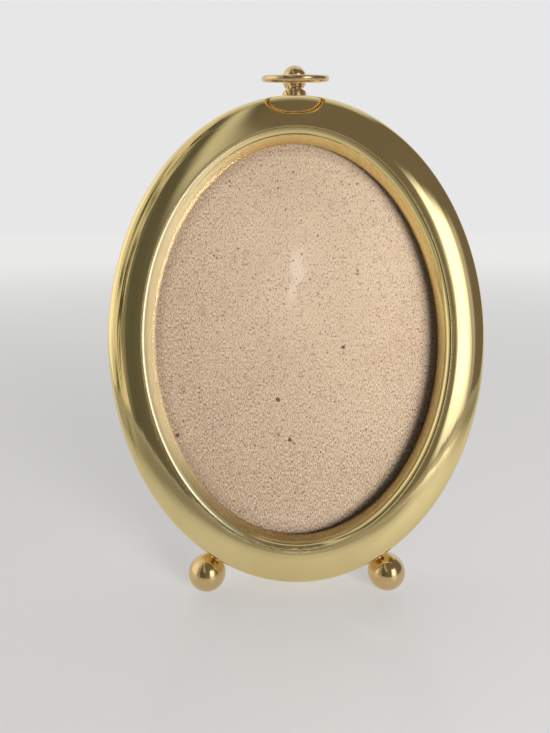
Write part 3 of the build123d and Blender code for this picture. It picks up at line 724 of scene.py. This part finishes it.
def moulding_section():
    """Closed outline of the pressed sheet, outside then inside.

    Outside: hem, rolled edge, straight wall, shoulder arc, broad face arc, seam arc and return. Inside: the
    same arcs with the sheet taken off their radius. The face arc is square to the front at the seam and
    touches the shoulder, which gives its radius.
    """
    run = MOULDING_WIDTH - SEAM_RADIUS - SHOULDER_RADIUS
    radius = (run**2 + SHOULDER_DEPTH**2 - SHOULDER_RADIUS**2) / (2 * (SHOULDER_DEPTH - SHOULDER_RADIUS))
    roll = 90 - np.degrees(np.arcsin(run / (radius - SHOULDER_RADIUS)))
    face = (SEAM_RADIUS - MOULDING_WIDTH, -radius)
    shoulder = (-SHOULDER_RADIUS, -SHOULDER_DEPTH)
    edge = (-HEM_RADIUS, HEM_RADIUS - MOULDING_DEPTH)
    corner = np.degrees(np.arccos((SHEET - SEAM_RADIUS) / (radius - SHEET)))
    inner_top = (SHEET - MOULDING_WIDTH, -radius + (radius - SHEET) * np.sin(np.radians(corner)))
    return join(
        line((-HEM_WIDTH, -MOULDING_DEPTH), (-HEM_RADIUS, -MOULDING_DEPTH), 3),
        arc(edge, HEM_RADIUS, 270, 360, 10),
        line((0, edge[1]), (0, -SHOULDER_DEPTH), 18),
        arc(shoulder, SHOULDER_RADIUS, 0, roll, 18),
        arc(face, radius, roll, 90, 40),
        line((face[0], 0), (SEAM_EDGE - MOULDING_WIDTH, 0), 3),
        arc((SEAM_EDGE - MOULDING_WIDTH, -SEAM_EDGE), SEAM_EDGE, 90, 180, 9),
        line((-MOULDING_WIDTH, -SEAM_EDGE), (-MOULDING_WIDTH, -SEAM_RETURN), 5),
        line((-MOULDING_WIDTH, -SEAM_RETURN), (SHEET - MOULDING_WIDTH, -SEAM_RETURN)),
        line((SHEET - MOULDING_WIDTH, -SEAM_RETURN), inner_top, 4),
        arc(face, radius - SHEET, corner, roll, 16),
        arc(shoulder, SHOULDER_RADIUS - SHEET, roll, 0, 8),
        line((-SHEET, -SHOULDER_DEPTH), (-SHEET, edge[1]), 8),
        arc(edge, HEM_RADIUS - SHEET, 360, 270, 6),
        line((-HEM_RADIUS, SHEET - MOULDING_DEPTH), (-HEM_WIDTH, SHEET - MOULDING_DEPTH)),
        line((-HEM_WIDTH, SHEET - MOULDING_DEPTH), (-HEM_WIDTH, -MOULDING_DEPTH)),
        closed=True,
    )


def liner_section():
    """Closed outline of the liner: flange, a small bend, wall, corner, soft facet, lip and hidden back.

    Lip, facet and corner are arcs that run into each other at set angles. The wall's arc leaves the corner
    in the same way and touches the foot's bend from outside, which gives its radius.
    """
    inner = MOULDING_WIDTH + SEAM_GAP
    bead_inset = inner + 2 * BEAD_RADIUS
    foot = -bead_inset - WALL_SPLAY
    bead = np.array((BEAD_RADIUS - bead_inset, BEAD_RISE - BEAD_RADIUS))
    bend = np.array((foot + FOOT_RADIUS, FOOT_RADIUS - LINER_DEPTH))
    lip = np.array((-inner - LIP_RADIUS, BEAD_RISE - LIP_RADIUS))
    ends = np.radians((LIP_END, FACET_END, CORNER_END))
    lip_way, facet_way, corner_way = np.stack([np.cos(ends), np.sin(ends)], axis=1)
    facet = lip + (LIP_RADIUS - FACET_RADIUS) * lip_way
    corner = facet + (FACET_RADIUS - CORNER_RADIUS) * facet_way
    fall = corner + CORNER_RADIUS * corner_way - bend
    radius = (fall @ fall - FOOT_RADIUS**2) / (2 * (fall @ corner_way - FOOT_RADIUS))
    wall = corner + (CORNER_RADIUS - radius) * corner_way
    wall_foot = np.degrees(np.arctan2(*(bend - wall)[::-1])) % 360
    heel = np.array((foot + LINER_SHEET, LINER_SHEET - LINER_DEPTH))
    to_heel = heel - bead
    back = np.degrees(np.arctan2(*to_heel[::-1]) + np.arccos(BEAD_RADIUS / np.hypot(*to_heel)))
    behind = bead + BEAD_RADIUS * np.array((np.cos(np.radians(back)), np.sin(np.radians(back))))
    return join(
        line((foot + LINER_FLANGE, -LINER_DEPTH), (bend[0], -LINER_DEPTH), 5),
        arc(bend, FOOT_RADIUS, 270, wall_foot, 12),
        arc(wall, radius, wall_foot, CORNER_END, 32),
        arc(corner, CORNER_RADIUS, CORNER_END, FACET_END, 16),
        arc(facet, FACET_RADIUS, FACET_END, LIP_END, 14),
        arc(lip, LIP_RADIUS, LIP_END, 0, 12),
        line((-inner, lip[1]), (-inner, bead[1])),
        arc(bead, BEAD_RADIUS, 0, back, 5),
        line(behind, heel, 8),
        line(heel, (foot + LINER_FLANGE, heel[1])),
        line((foot + LINER_FLANGE, heel[1]), (foot + LINER_FLANGE, -LINER_DEPTH)),
        closed=True,
    )


def seam_closeness(section):
    """1 on the section at the mouth of the seam's gap, falling to 0 at its reach, the same all round."""
    gap = np.hypot(section[:, 0] + MOULDING_WIDTH + SEAM_GAP / 2, section[:, 1])
    return np.tile(np.clip(1.0 - gap / SEAM_REACH, 0.0, 1.0), (OVAL_TURNS, 1))


for name, section in (("front_moulding", moulding_section()), ("sight_liner", liner_section())):
    closeness = seam_closeness(section)
    drawn, liner = (np.full_like(closeness, name == piece) for piece in ("front_moulding", "sight_liner"))
    make_piece(f"{name}_skin", name, "frame", "polished_brass", [carry_round(section)], wraps=(True, True),
               fields=[("seam", [closeness]), ("drawn", [drawn]), ("liner", [liner])])


def oval_pane(inset, front, back):
    """Flat oval pane: rim points a set distance inside the outer oval, drawn in to the middle on each face.

    Each column is a share of the rim's reach at one depth, so the first and last columns meet in the
    middle. The two columns between the faces are the edge, with an arris taken off both its corners.
    """
    rim, normal = oval_rim(full_turn(PANE_TURNS))
    inwards, face = np.linspace(1, 0, PANE_STEPS), np.ones(PANE_STEPS)
    share = np.concatenate([inwards[::-1], (1, 1), inwards])
    cut = inset + PANE_ARRIS * np.concatenate([face, (0, 0), face])
    depth = np.concatenate([face * front, (front + PANE_ARRIS, back - PANE_ARRIS), face * back])
    x, y = (rim[..., None] - normal[..., None] * cut) * share
    return on_face(x, y, np.broadcast_to(depth, x.shape))


pane_inset = MOULDING_WIDTH + SEAM_GAP + 2 * BEAD_RADIUS + WALL_SPLAY - PANE_OVERLAP
pane = oval_pane(pane_inset, LINER_DEPTH + PANE_GAP, LINER_DEPTH + PANE_THICKNESS - PANE_GAP)
make_piece("glass_pane_clear", "glass_pane", "frame", "clear_glass", [pane])


def stud_profile():
    """Radius and height of the turned stud: foot, hollow flare up to the waist, and the ball over it."""
    flare = STUD_FOOT_RADIUS - STUD_WAIST_RADIUS
    neck_angle = -np.degrees(np.arccos(STUD_WAIST_RADIUS / STUD_BALL_RADIUS))
    neck_top = STUD_BALL_HEIGHT + STUD_BALL_RADIUS * np.sin(np.radians(neck_angle))
    flare_top = STUD_FOOT_HEIGHT + flare
    rounded = (STUD_FOOT_RADIUS - STUD_EDGE, STUD_FOOT_HEIGHT - STUD_EDGE)
    return join(
        line((0, -SADDLE), (STUD_FOOT_RADIUS, -SADDLE)),
        line((STUD_FOOT_RADIUS, -SADDLE), (STUD_FOOT_RADIUS, rounded[1]), 3),
        arc(rounded, STUD_EDGE, 0, 90, 6),
        arc((STUD_FOOT_RADIUS, flare_top), flare, 270 - np.degrees(STUD_EDGE / flare), 180, 14),
        line((STUD_WAIST_RADIUS, flare_top), (STUD_WAIST_RADIUS, neck_top), 3),
        arc((0, STUD_BALL_HEIGHT), STUD_BALL_RADIUS, neck_angle, 90, 40),
    )


stud = turn_about(stud_profile(), on_face(0, HALF_HEIGHT, STUD_DEPTH), UP, STUD_SIDES)
make_piece("hanger_stud_turned", "hanger_stud", "frame", "polished_brass", [stud])


def ring_tube():
    """Wire carried along its path: straight ends in the stud's ball, tight bends and a round bow.

    Each row is a circle square to the path, and a row of no radius closes each end.
    """
    turn = STUD_BALL_RADIUS + RING_WIRE
    rise = np.sqrt((RING_RADIUS - RING_BEND) ** 2 - turn**2)
    start = -np.degrees(np.arctan2(rise, turn))
    path = join(
        line((RING_END, 0), (turn, 0), 8),
        arc((turn, RING_BEND), RING_BEND, 270, 360 + start, 14),
        arc((0, RING_BEND + rise), RING_RADIUS, start, 180 - start, 160),
        arc((-turn, RING_BEND), RING_BEND, 180 - start, 270, 14),
        line((-turn, 0), (-RING_END, 0), 8),
    )
    heading = np.gradient(path, axis=0)
    heading = heading / np.linalg.norm(heading, axis=1, keepdims=True)
    path, heading = (np.concatenate([part[:1], part, part[-1:]]) for part in (path, heading))
    wire = np.full(len(path), RING_WIRE)
    wire[[0, -1]] = 0.0
    droop = np.radians(RING_DROOP)
    ring_out = OUT * np.cos(droop) - UP * np.sin(droop)
    side = np.outer(-heading[:, 1], RIGHT) + np.outer(heading[:, 0], ring_out)
    lift = np.cross(RIGHT, ring_out)
    middle = RING_PIVOT + np.outer(path[:, 0], RIGHT) + np.outer(path[:, 1], ring_out)
    angle = full_turn(WIRE_SIDES)
    circle = np.cos(angle)[None, :, None] * side[:, None] + np.sin(angle)[None, :, None] * lift
    return middle[:, None] + circle * wire[:, None, None]


make_piece("hanger_ring_wire", "hanger_ring", "ring", "polished_brass", [ring_tube()], wraps=(False, True))


def foot_pieces():
    """Ball and collar of each foot, turned about the line square to the oval where the foot stands.

    The ball is an arc from the collar's rim to its far end, with a flat seat as broad as the collar.
    """
    (foot_x, foot_y), normal = oval_rim(-np.arccos(FOOT_SPREAD / 2 / HALF_WIDTH))
    flat = np.arcsin(COLLAR_RADIUS / BALL_RADIUS)
    middle = COLLAR_HEIGHT + BALL_RADIUS * np.cos(flat)
    ball = join(
        line((0, COLLAR_HEIGHT), (COLLAR_RADIUS, COLLAR_HEIGHT)),
        arc((0, middle), BALL_RADIUS, np.degrees(flat) - 90, 90, 72),
    )
    collar = join(
        line((0, -SADDLE), (COLLAR_RADIUS, -SADDLE)),
        line((COLLAR_RADIUS, -SADDLE), (COLLAR_RADIUS, COLLAR_HEIGHT), 8),
        line((COLLAR_RADIUS, COLLAR_HEIGHT), (0, COLLAR_HEIGHT)),
    )
    for name, side in (("left", -1), ("right", 1)):
        root = on_face(side * foot_x, foot_y, FOOT_DEPTH)
        axis = RIGHT * side * normal[0] + UP * normal[1]
        for part, profile in (("ball", ball), ("collar", collar)):
            make_piece(f"foot_{part}_{name}_turned", f"foot_{part}_{name}", "frame", "polished_brass",
                       [turn_about(profile, root, axis, FOOT_SIDES)])


foot_pieces()


def button_tongue(pivot, reach):
    """Turn button: an outline round a root circle and a tip circle, with thickness, round edges and a hole.

    In each direction the outline takes whichever circle lies further out. The columns run from the hole
    across one face, round the edge, across the other and through the hole, so the surface closes on itself.
    """
    angle = full_turn(BUTTON_SIDES)
    way = np.stack([np.cos(angle), np.sin(angle)], axis=1)
    tip_x = BUTTON_REACH - BUTTON_TIP
    at_tip = tip_x * way[:, 0] + BUTTON_TIP > BUTTON_ROOT
    radius = np.where(at_tip, BUTTON_TIP, BUTTON_ROOT)
    centre = np.stack([np.where(at_tip, tip_x, 0.0), np.zeros_like(angle)], axis=1)
    corner = np.radians(np.linspace(0, 90, BUTTON_EDGE_STEPS))
    inset = BUTTON_EDGE * np.concatenate([[1, 1], 1 - np.sin(corner), 1 - np.cos(corner), [1, 1]])
    low = BUTTON_EDGE * (1 - np.cos(corner))
    high = BUTTON_THICKNESS - BUTTON_EDGE * (1 - np.sin(corner))
    height = np.concatenate([[0, 0], low, high, [BUTTON_THICKNESS, BUTTON_THICKNESS]]) + BUTTON_GAP
    share = np.concatenate([[0, 0.5], np.ones(2 * len(corner)), [0.5, 0]])
    edge = centre[:, None] + (radius[:, None] - inset)[..., None] * way[:, None]
    flat = share[:, None] * edge + (1 - share)[:, None] * BUTTON_HOLE * way[:, None]
    across = np.cross(-OUT, reach)
    return pivot + flat[..., :1] * reach + flat[..., 1:] * across - height[None, :, None] * OUT


def dome(head, rise, steps):
    """Radius and height of a flat dome from its rim to its top, an arc through both."""
    radius = (head**2 + rise**2) / (2 * rise)
    return arc((0, rise - radius), radius, np.degrees(np.arccos(head / radius)), 90, steps)


def rivet_profile(shank, length, head, rise, tail_head=0.0, tail_rise=0.0):
    """Radius and height of a rivet: shank below 0, a domed head and, if asked, a dome at its other end."""
    start = [line((0, -length), (shank, -length))]
    if tail_head:
        tail = dome(tail_head, tail_rise, RIVET_TAIL_STEPS)[::-1] * (1, -1) - (0, length)
        start = [tail, line((tail_head, -length), (shank, -length))]
    side, underside = line((shank, -length), (shank, 0)), line((shank, 0), (head, 0))
    return join(*start, side, underside, dome(head, rise, RIVET_HEAD_STEPS))


def back_fittings():
    """Turn buttons on their joints, their rivets, and the rivets of both hinge leaves."""
    seat = 2 * BUTTON_GAP + BUTTON_THICKNESS
    profile = rivet_profile(BUTTON_RIVET, BACK_THICKNESS + seat, BUTTON_RIVET_HEAD, BUTTON_RIVET_RISE,
                            BUTTON_RIVET_CLINCH, BUTTON_RIVET_TAIL)
    normal = oval_rim(np.radians(BUTTON_ANGLE))[1]
    rivets = []
    for name in ("upper_left", "upper_right", "lower_left", "lower_right"):
        pivot = np.array(joints[f"button_{name}_turn"]["pos_m"]) / MM
        side, level = np.sign((pivot - FACE_MIDDLE) @ np.stack([RIGHT, UP], axis=1))
        tongue = button_tongue(pivot, RIGHT * side * normal[0] + UP * level * normal[1])
        make_piece(f"turn_button_{name}_plate", f"turn_button_{name}", f"button_{name}", "plain_brass",
                   [tongue], wraps=(True, True))
        rivets.append(turn_about(profile, pivot - OUT * seat, -OUT, RIVET_SIDES))
    make_piece("turn_button_rivets_domed", "turn_button_rivets", "frame", "plain_brass", rivets)

    # Rivets of the upper leaf, through the back, and of the lower leaf, through the leg
    sides = (-HINGE_RIVET_SPACING / 2, HINGE_RIVET_SPACING / 2)
    length = LEAF_THICKNESS + BACK_THICKNESS
    profile = rivet_profile(HINGE_RIVET, length, HINGE_RIVET_HEAD, HINGE_RIVET_RISE)
    root = on_face(0, HINGE_RISE + HINGE_RIVET_DROP, COVER_BACK + LEAF_THICKNESS)
    rivets = [turn_about(profile, root + RIGHT * x, -OUT, RIVET_SIDES) for x in sides]
    make_piece("hinge_upper_rivets_domed", "hinge_upper_rivets", "frame", "plain_brass", rivets)

    length = LEG_STACK + LEAF_THICKNESS
    profile = rivet_profile(HINGE_RIVET, length, HINGE_RIVET_HEAD, HINGE_RIVET_RISE,
                            HINGE_RIVET_HEAD, HINGE_RIVET_TAIL)
    root = HINGE - LEG_UP * HINGE_RIVET_DROP + LEG_OUT * (LEG_FRONT - LEG_STACK)
    rivets = [turn_about(profile, root + RIGHT * x, -LEG_OUT, RIVET_SIDES) for x in sides]
    make_piece("hinge_lower_rivets_domed", "hinge_lower_rivets", "strut", "plain_brass", rivets)


back_fittings()


def table_top():
    """A broad flat square at the floor's height, as a grid of two rows and columns."""
    mesh = bpy.data.meshes.new("table_top")
    x, y = np.meshgrid((-TABLE_REACH, TABLE_REACH), (-TABLE_REACH, TABLE_REACH))
    corners = np.stack([x, y, np.zeros_like(x)], axis=-1).reshape(-1, 3)
    mesh.from_pydata(corners, [], [(0, 1, 3, 2)])
    mesh.materials.append(pale_table())
    top = bpy.data.objects.new("table_top", mesh)
    bpy.context.scene.collection.objects.link(top)


table_top()


def room_light():
    """Light by direction: pale surroundings behind and beside, a dim room in front, a window to the right.

    Directions are measured from the leaning face: across from its normal to the right, and height above it.
    To the left are lit and dark things, a slanted pale wall and, far round, a broad glow. Diffuse light
    from the front is cut, because the lamp in the window gives it instead.
    """
    world = bpy.data.worlds.new("room_light")
    bpy.context.scene.world = world
    world.use_nodes = True
    room = Nodes(world.node_tree)

    def band(value, low, high, soft):
        rising = room.span(value, low - soft, low + soft)
        return room.times(rising, room.span(value, high + soft, high - soft))

    way = room.node("TexCoord", {}, "Generated")
    front, right, up = (room.dot(way, axis) for axis in (OUT, RIGHT, UP))
    across = room.times(room.math("ARCTAN2", right, front), DEGREES)
    height = room.times(room.math("ARCSINE", up), DEGREES)
    light = room.blend(room.span(across, *ROOM_BROWNER), ROOM_DIM, ROOM_BROWN)

    # Things to the left, and the pale wall
    spread = room.point(room.times(across, THINGS_ACROSS), room.times(height, THINGS_UP))
    things = room.node("TexNoise", {"Vector": spread, "Scale": 1.0, "Detail": 3.0}, "Fac")
    things = room.blend(room.span(things, 0.38, 0.56), THINGS_DARK, THINGS_LIT)
    light = room.blend(room.span(across, *THINGS_START), light, things)
    slant = room.plus(across, room.times(room.minus(height, WALL_MIDDLE), WALL_SLANT))
    light = room.blend(room.times(band(slant, *WALL_ACROSS), band(height, *WALL_UP)), light, WALL_LIGHT)

    # Pale surroundings, then the window and the glow over them
    beside = room.times(room.span(right, *PALE_BESIDE), PALE_BESIDE_SHIFT)
    above = room.times(room.span(up, *PALE_ABOVE), room.span(front, *PALE_ABOVE_FRONT), PALE_ABOVE_SHIFT)
    light = room.blend(room.span(room.plus(front, beside, above), *PALE_BEGINS), light, PALE_LIGHT)
    far_edge = room.math("POWER", room.span(across, *WINDOW_FAR), 2.0)
    window = room.times(room.span(across, *WINDOW_NEAR), far_edge)
    window = room.times(window, room.span(height, *WINDOW_FOOT), room.span(height, *WINDOW_TOP))
    light = room.blend(window, light, WINDOW_LIGHT)
    light = room.blend(room.times(band(across, *GLOW_ACROSS), band(height, *GLOW_UP)), light, GLOW_LIGHT)

    fill = room.times(room.rays("Diffuse"), room.span(front, *FILL_FRONT), FILL_CUT)
    background = world.node_tree.nodes["Background"]
    room.feed(background.inputs["Color"], light)
    room.feed(background.inputs["Strength"], room.minus(1.0, fill))


room_light()


def place_by_axes(thing, place, right, up, back):
    """Put a lamp or camera at a place in millimetres, with its own axes along these three directions."""
    holder = bpy.data.objects.new(thing.name, thing)
    bpy.context.scene.collection.objects.link(holder)
    turn = Matrix(np.stack([right, up, back], axis=1).tolist()).to_4x4()
    holder.matrix_world = Matrix.Translation(place * MM) @ turn
    return holder


def window_lamp():
    """Broad soft lamp where the window is, for the light that falls on the board and the table."""
    across, height = np.radians((LAMP_ACROSS, LAMP_UP))
    way = (OUT * np.cos(across) + RIGHT * np.sin(across)) * np.cos(height) + UP * np.sin(height)
    lamp = bpy.data.lights.new("window_lamp", "AREA")
    lamp.shape = "RECTANGLE"
    lamp.size = LAMP_WIDTH
    lamp.size_y = LAMP_HEIGHT
    lamp.energy = LAMP_POWER
    lamp.color = LAMP_COLOUR
    right = np.cross(UP, way) / np.linalg.norm(np.cross(UP, way))
    holder = place_by_axes(lamp, FACE_MIDDLE + way * LAMP_DISTANCE, right, np.cross(way, right), way)
    holder.visible_glossy = False
    holder.visible_camera = False


window_lamp()


def photo_camera():
    """Pinhole camera before the face: small turns about the face's axes, and a lens in image heights."""
    yaw, pitch, roll = np.radians((CAMERA_YAW, CAMERA_PITCH, CAMERA_ROLL))
    about_y = np.array(((np.cos(yaw), 0, np.sin(yaw)), (0, 1, 0), (-np.sin(yaw), 0, np.cos(yaw))))
    about_x = np.array(((1, 0, 0), (0, np.cos(pitch), -np.sin(pitch)), (0, np.sin(pitch), np.cos(pitch))))
    about_z = np.array(((np.cos(roll), -np.sin(roll), 0), (np.sin(roll), np.cos(roll), 0), (0, 0, 1)))
    right, down, ahead = about_z @ about_x @ about_y @ np.stack([RIGHT, -UP, -OUT])
    lens = bpy.data.cameras.new("photo_camera")
    lens.sensor_fit = "VERTICAL"
    lens.sensor_height = SENSOR
    lens.lens = SENSOR * FOCAL_PIXELS / IMAGE_HEIGHT
    lens.clip_start = CAMERA_NEAREST
    place = FACE_MIDDLE + RIGHT * CAMERA_RIGHT - UP * CAMERA_DOWN + OUT * CAMERA_OUT
    bpy.context.scene.camera = place_by_axes(lens, place, right, -down, -ahead)


photo_camera()
bpy.context.scene.view_settings.view_transform = "Standard"
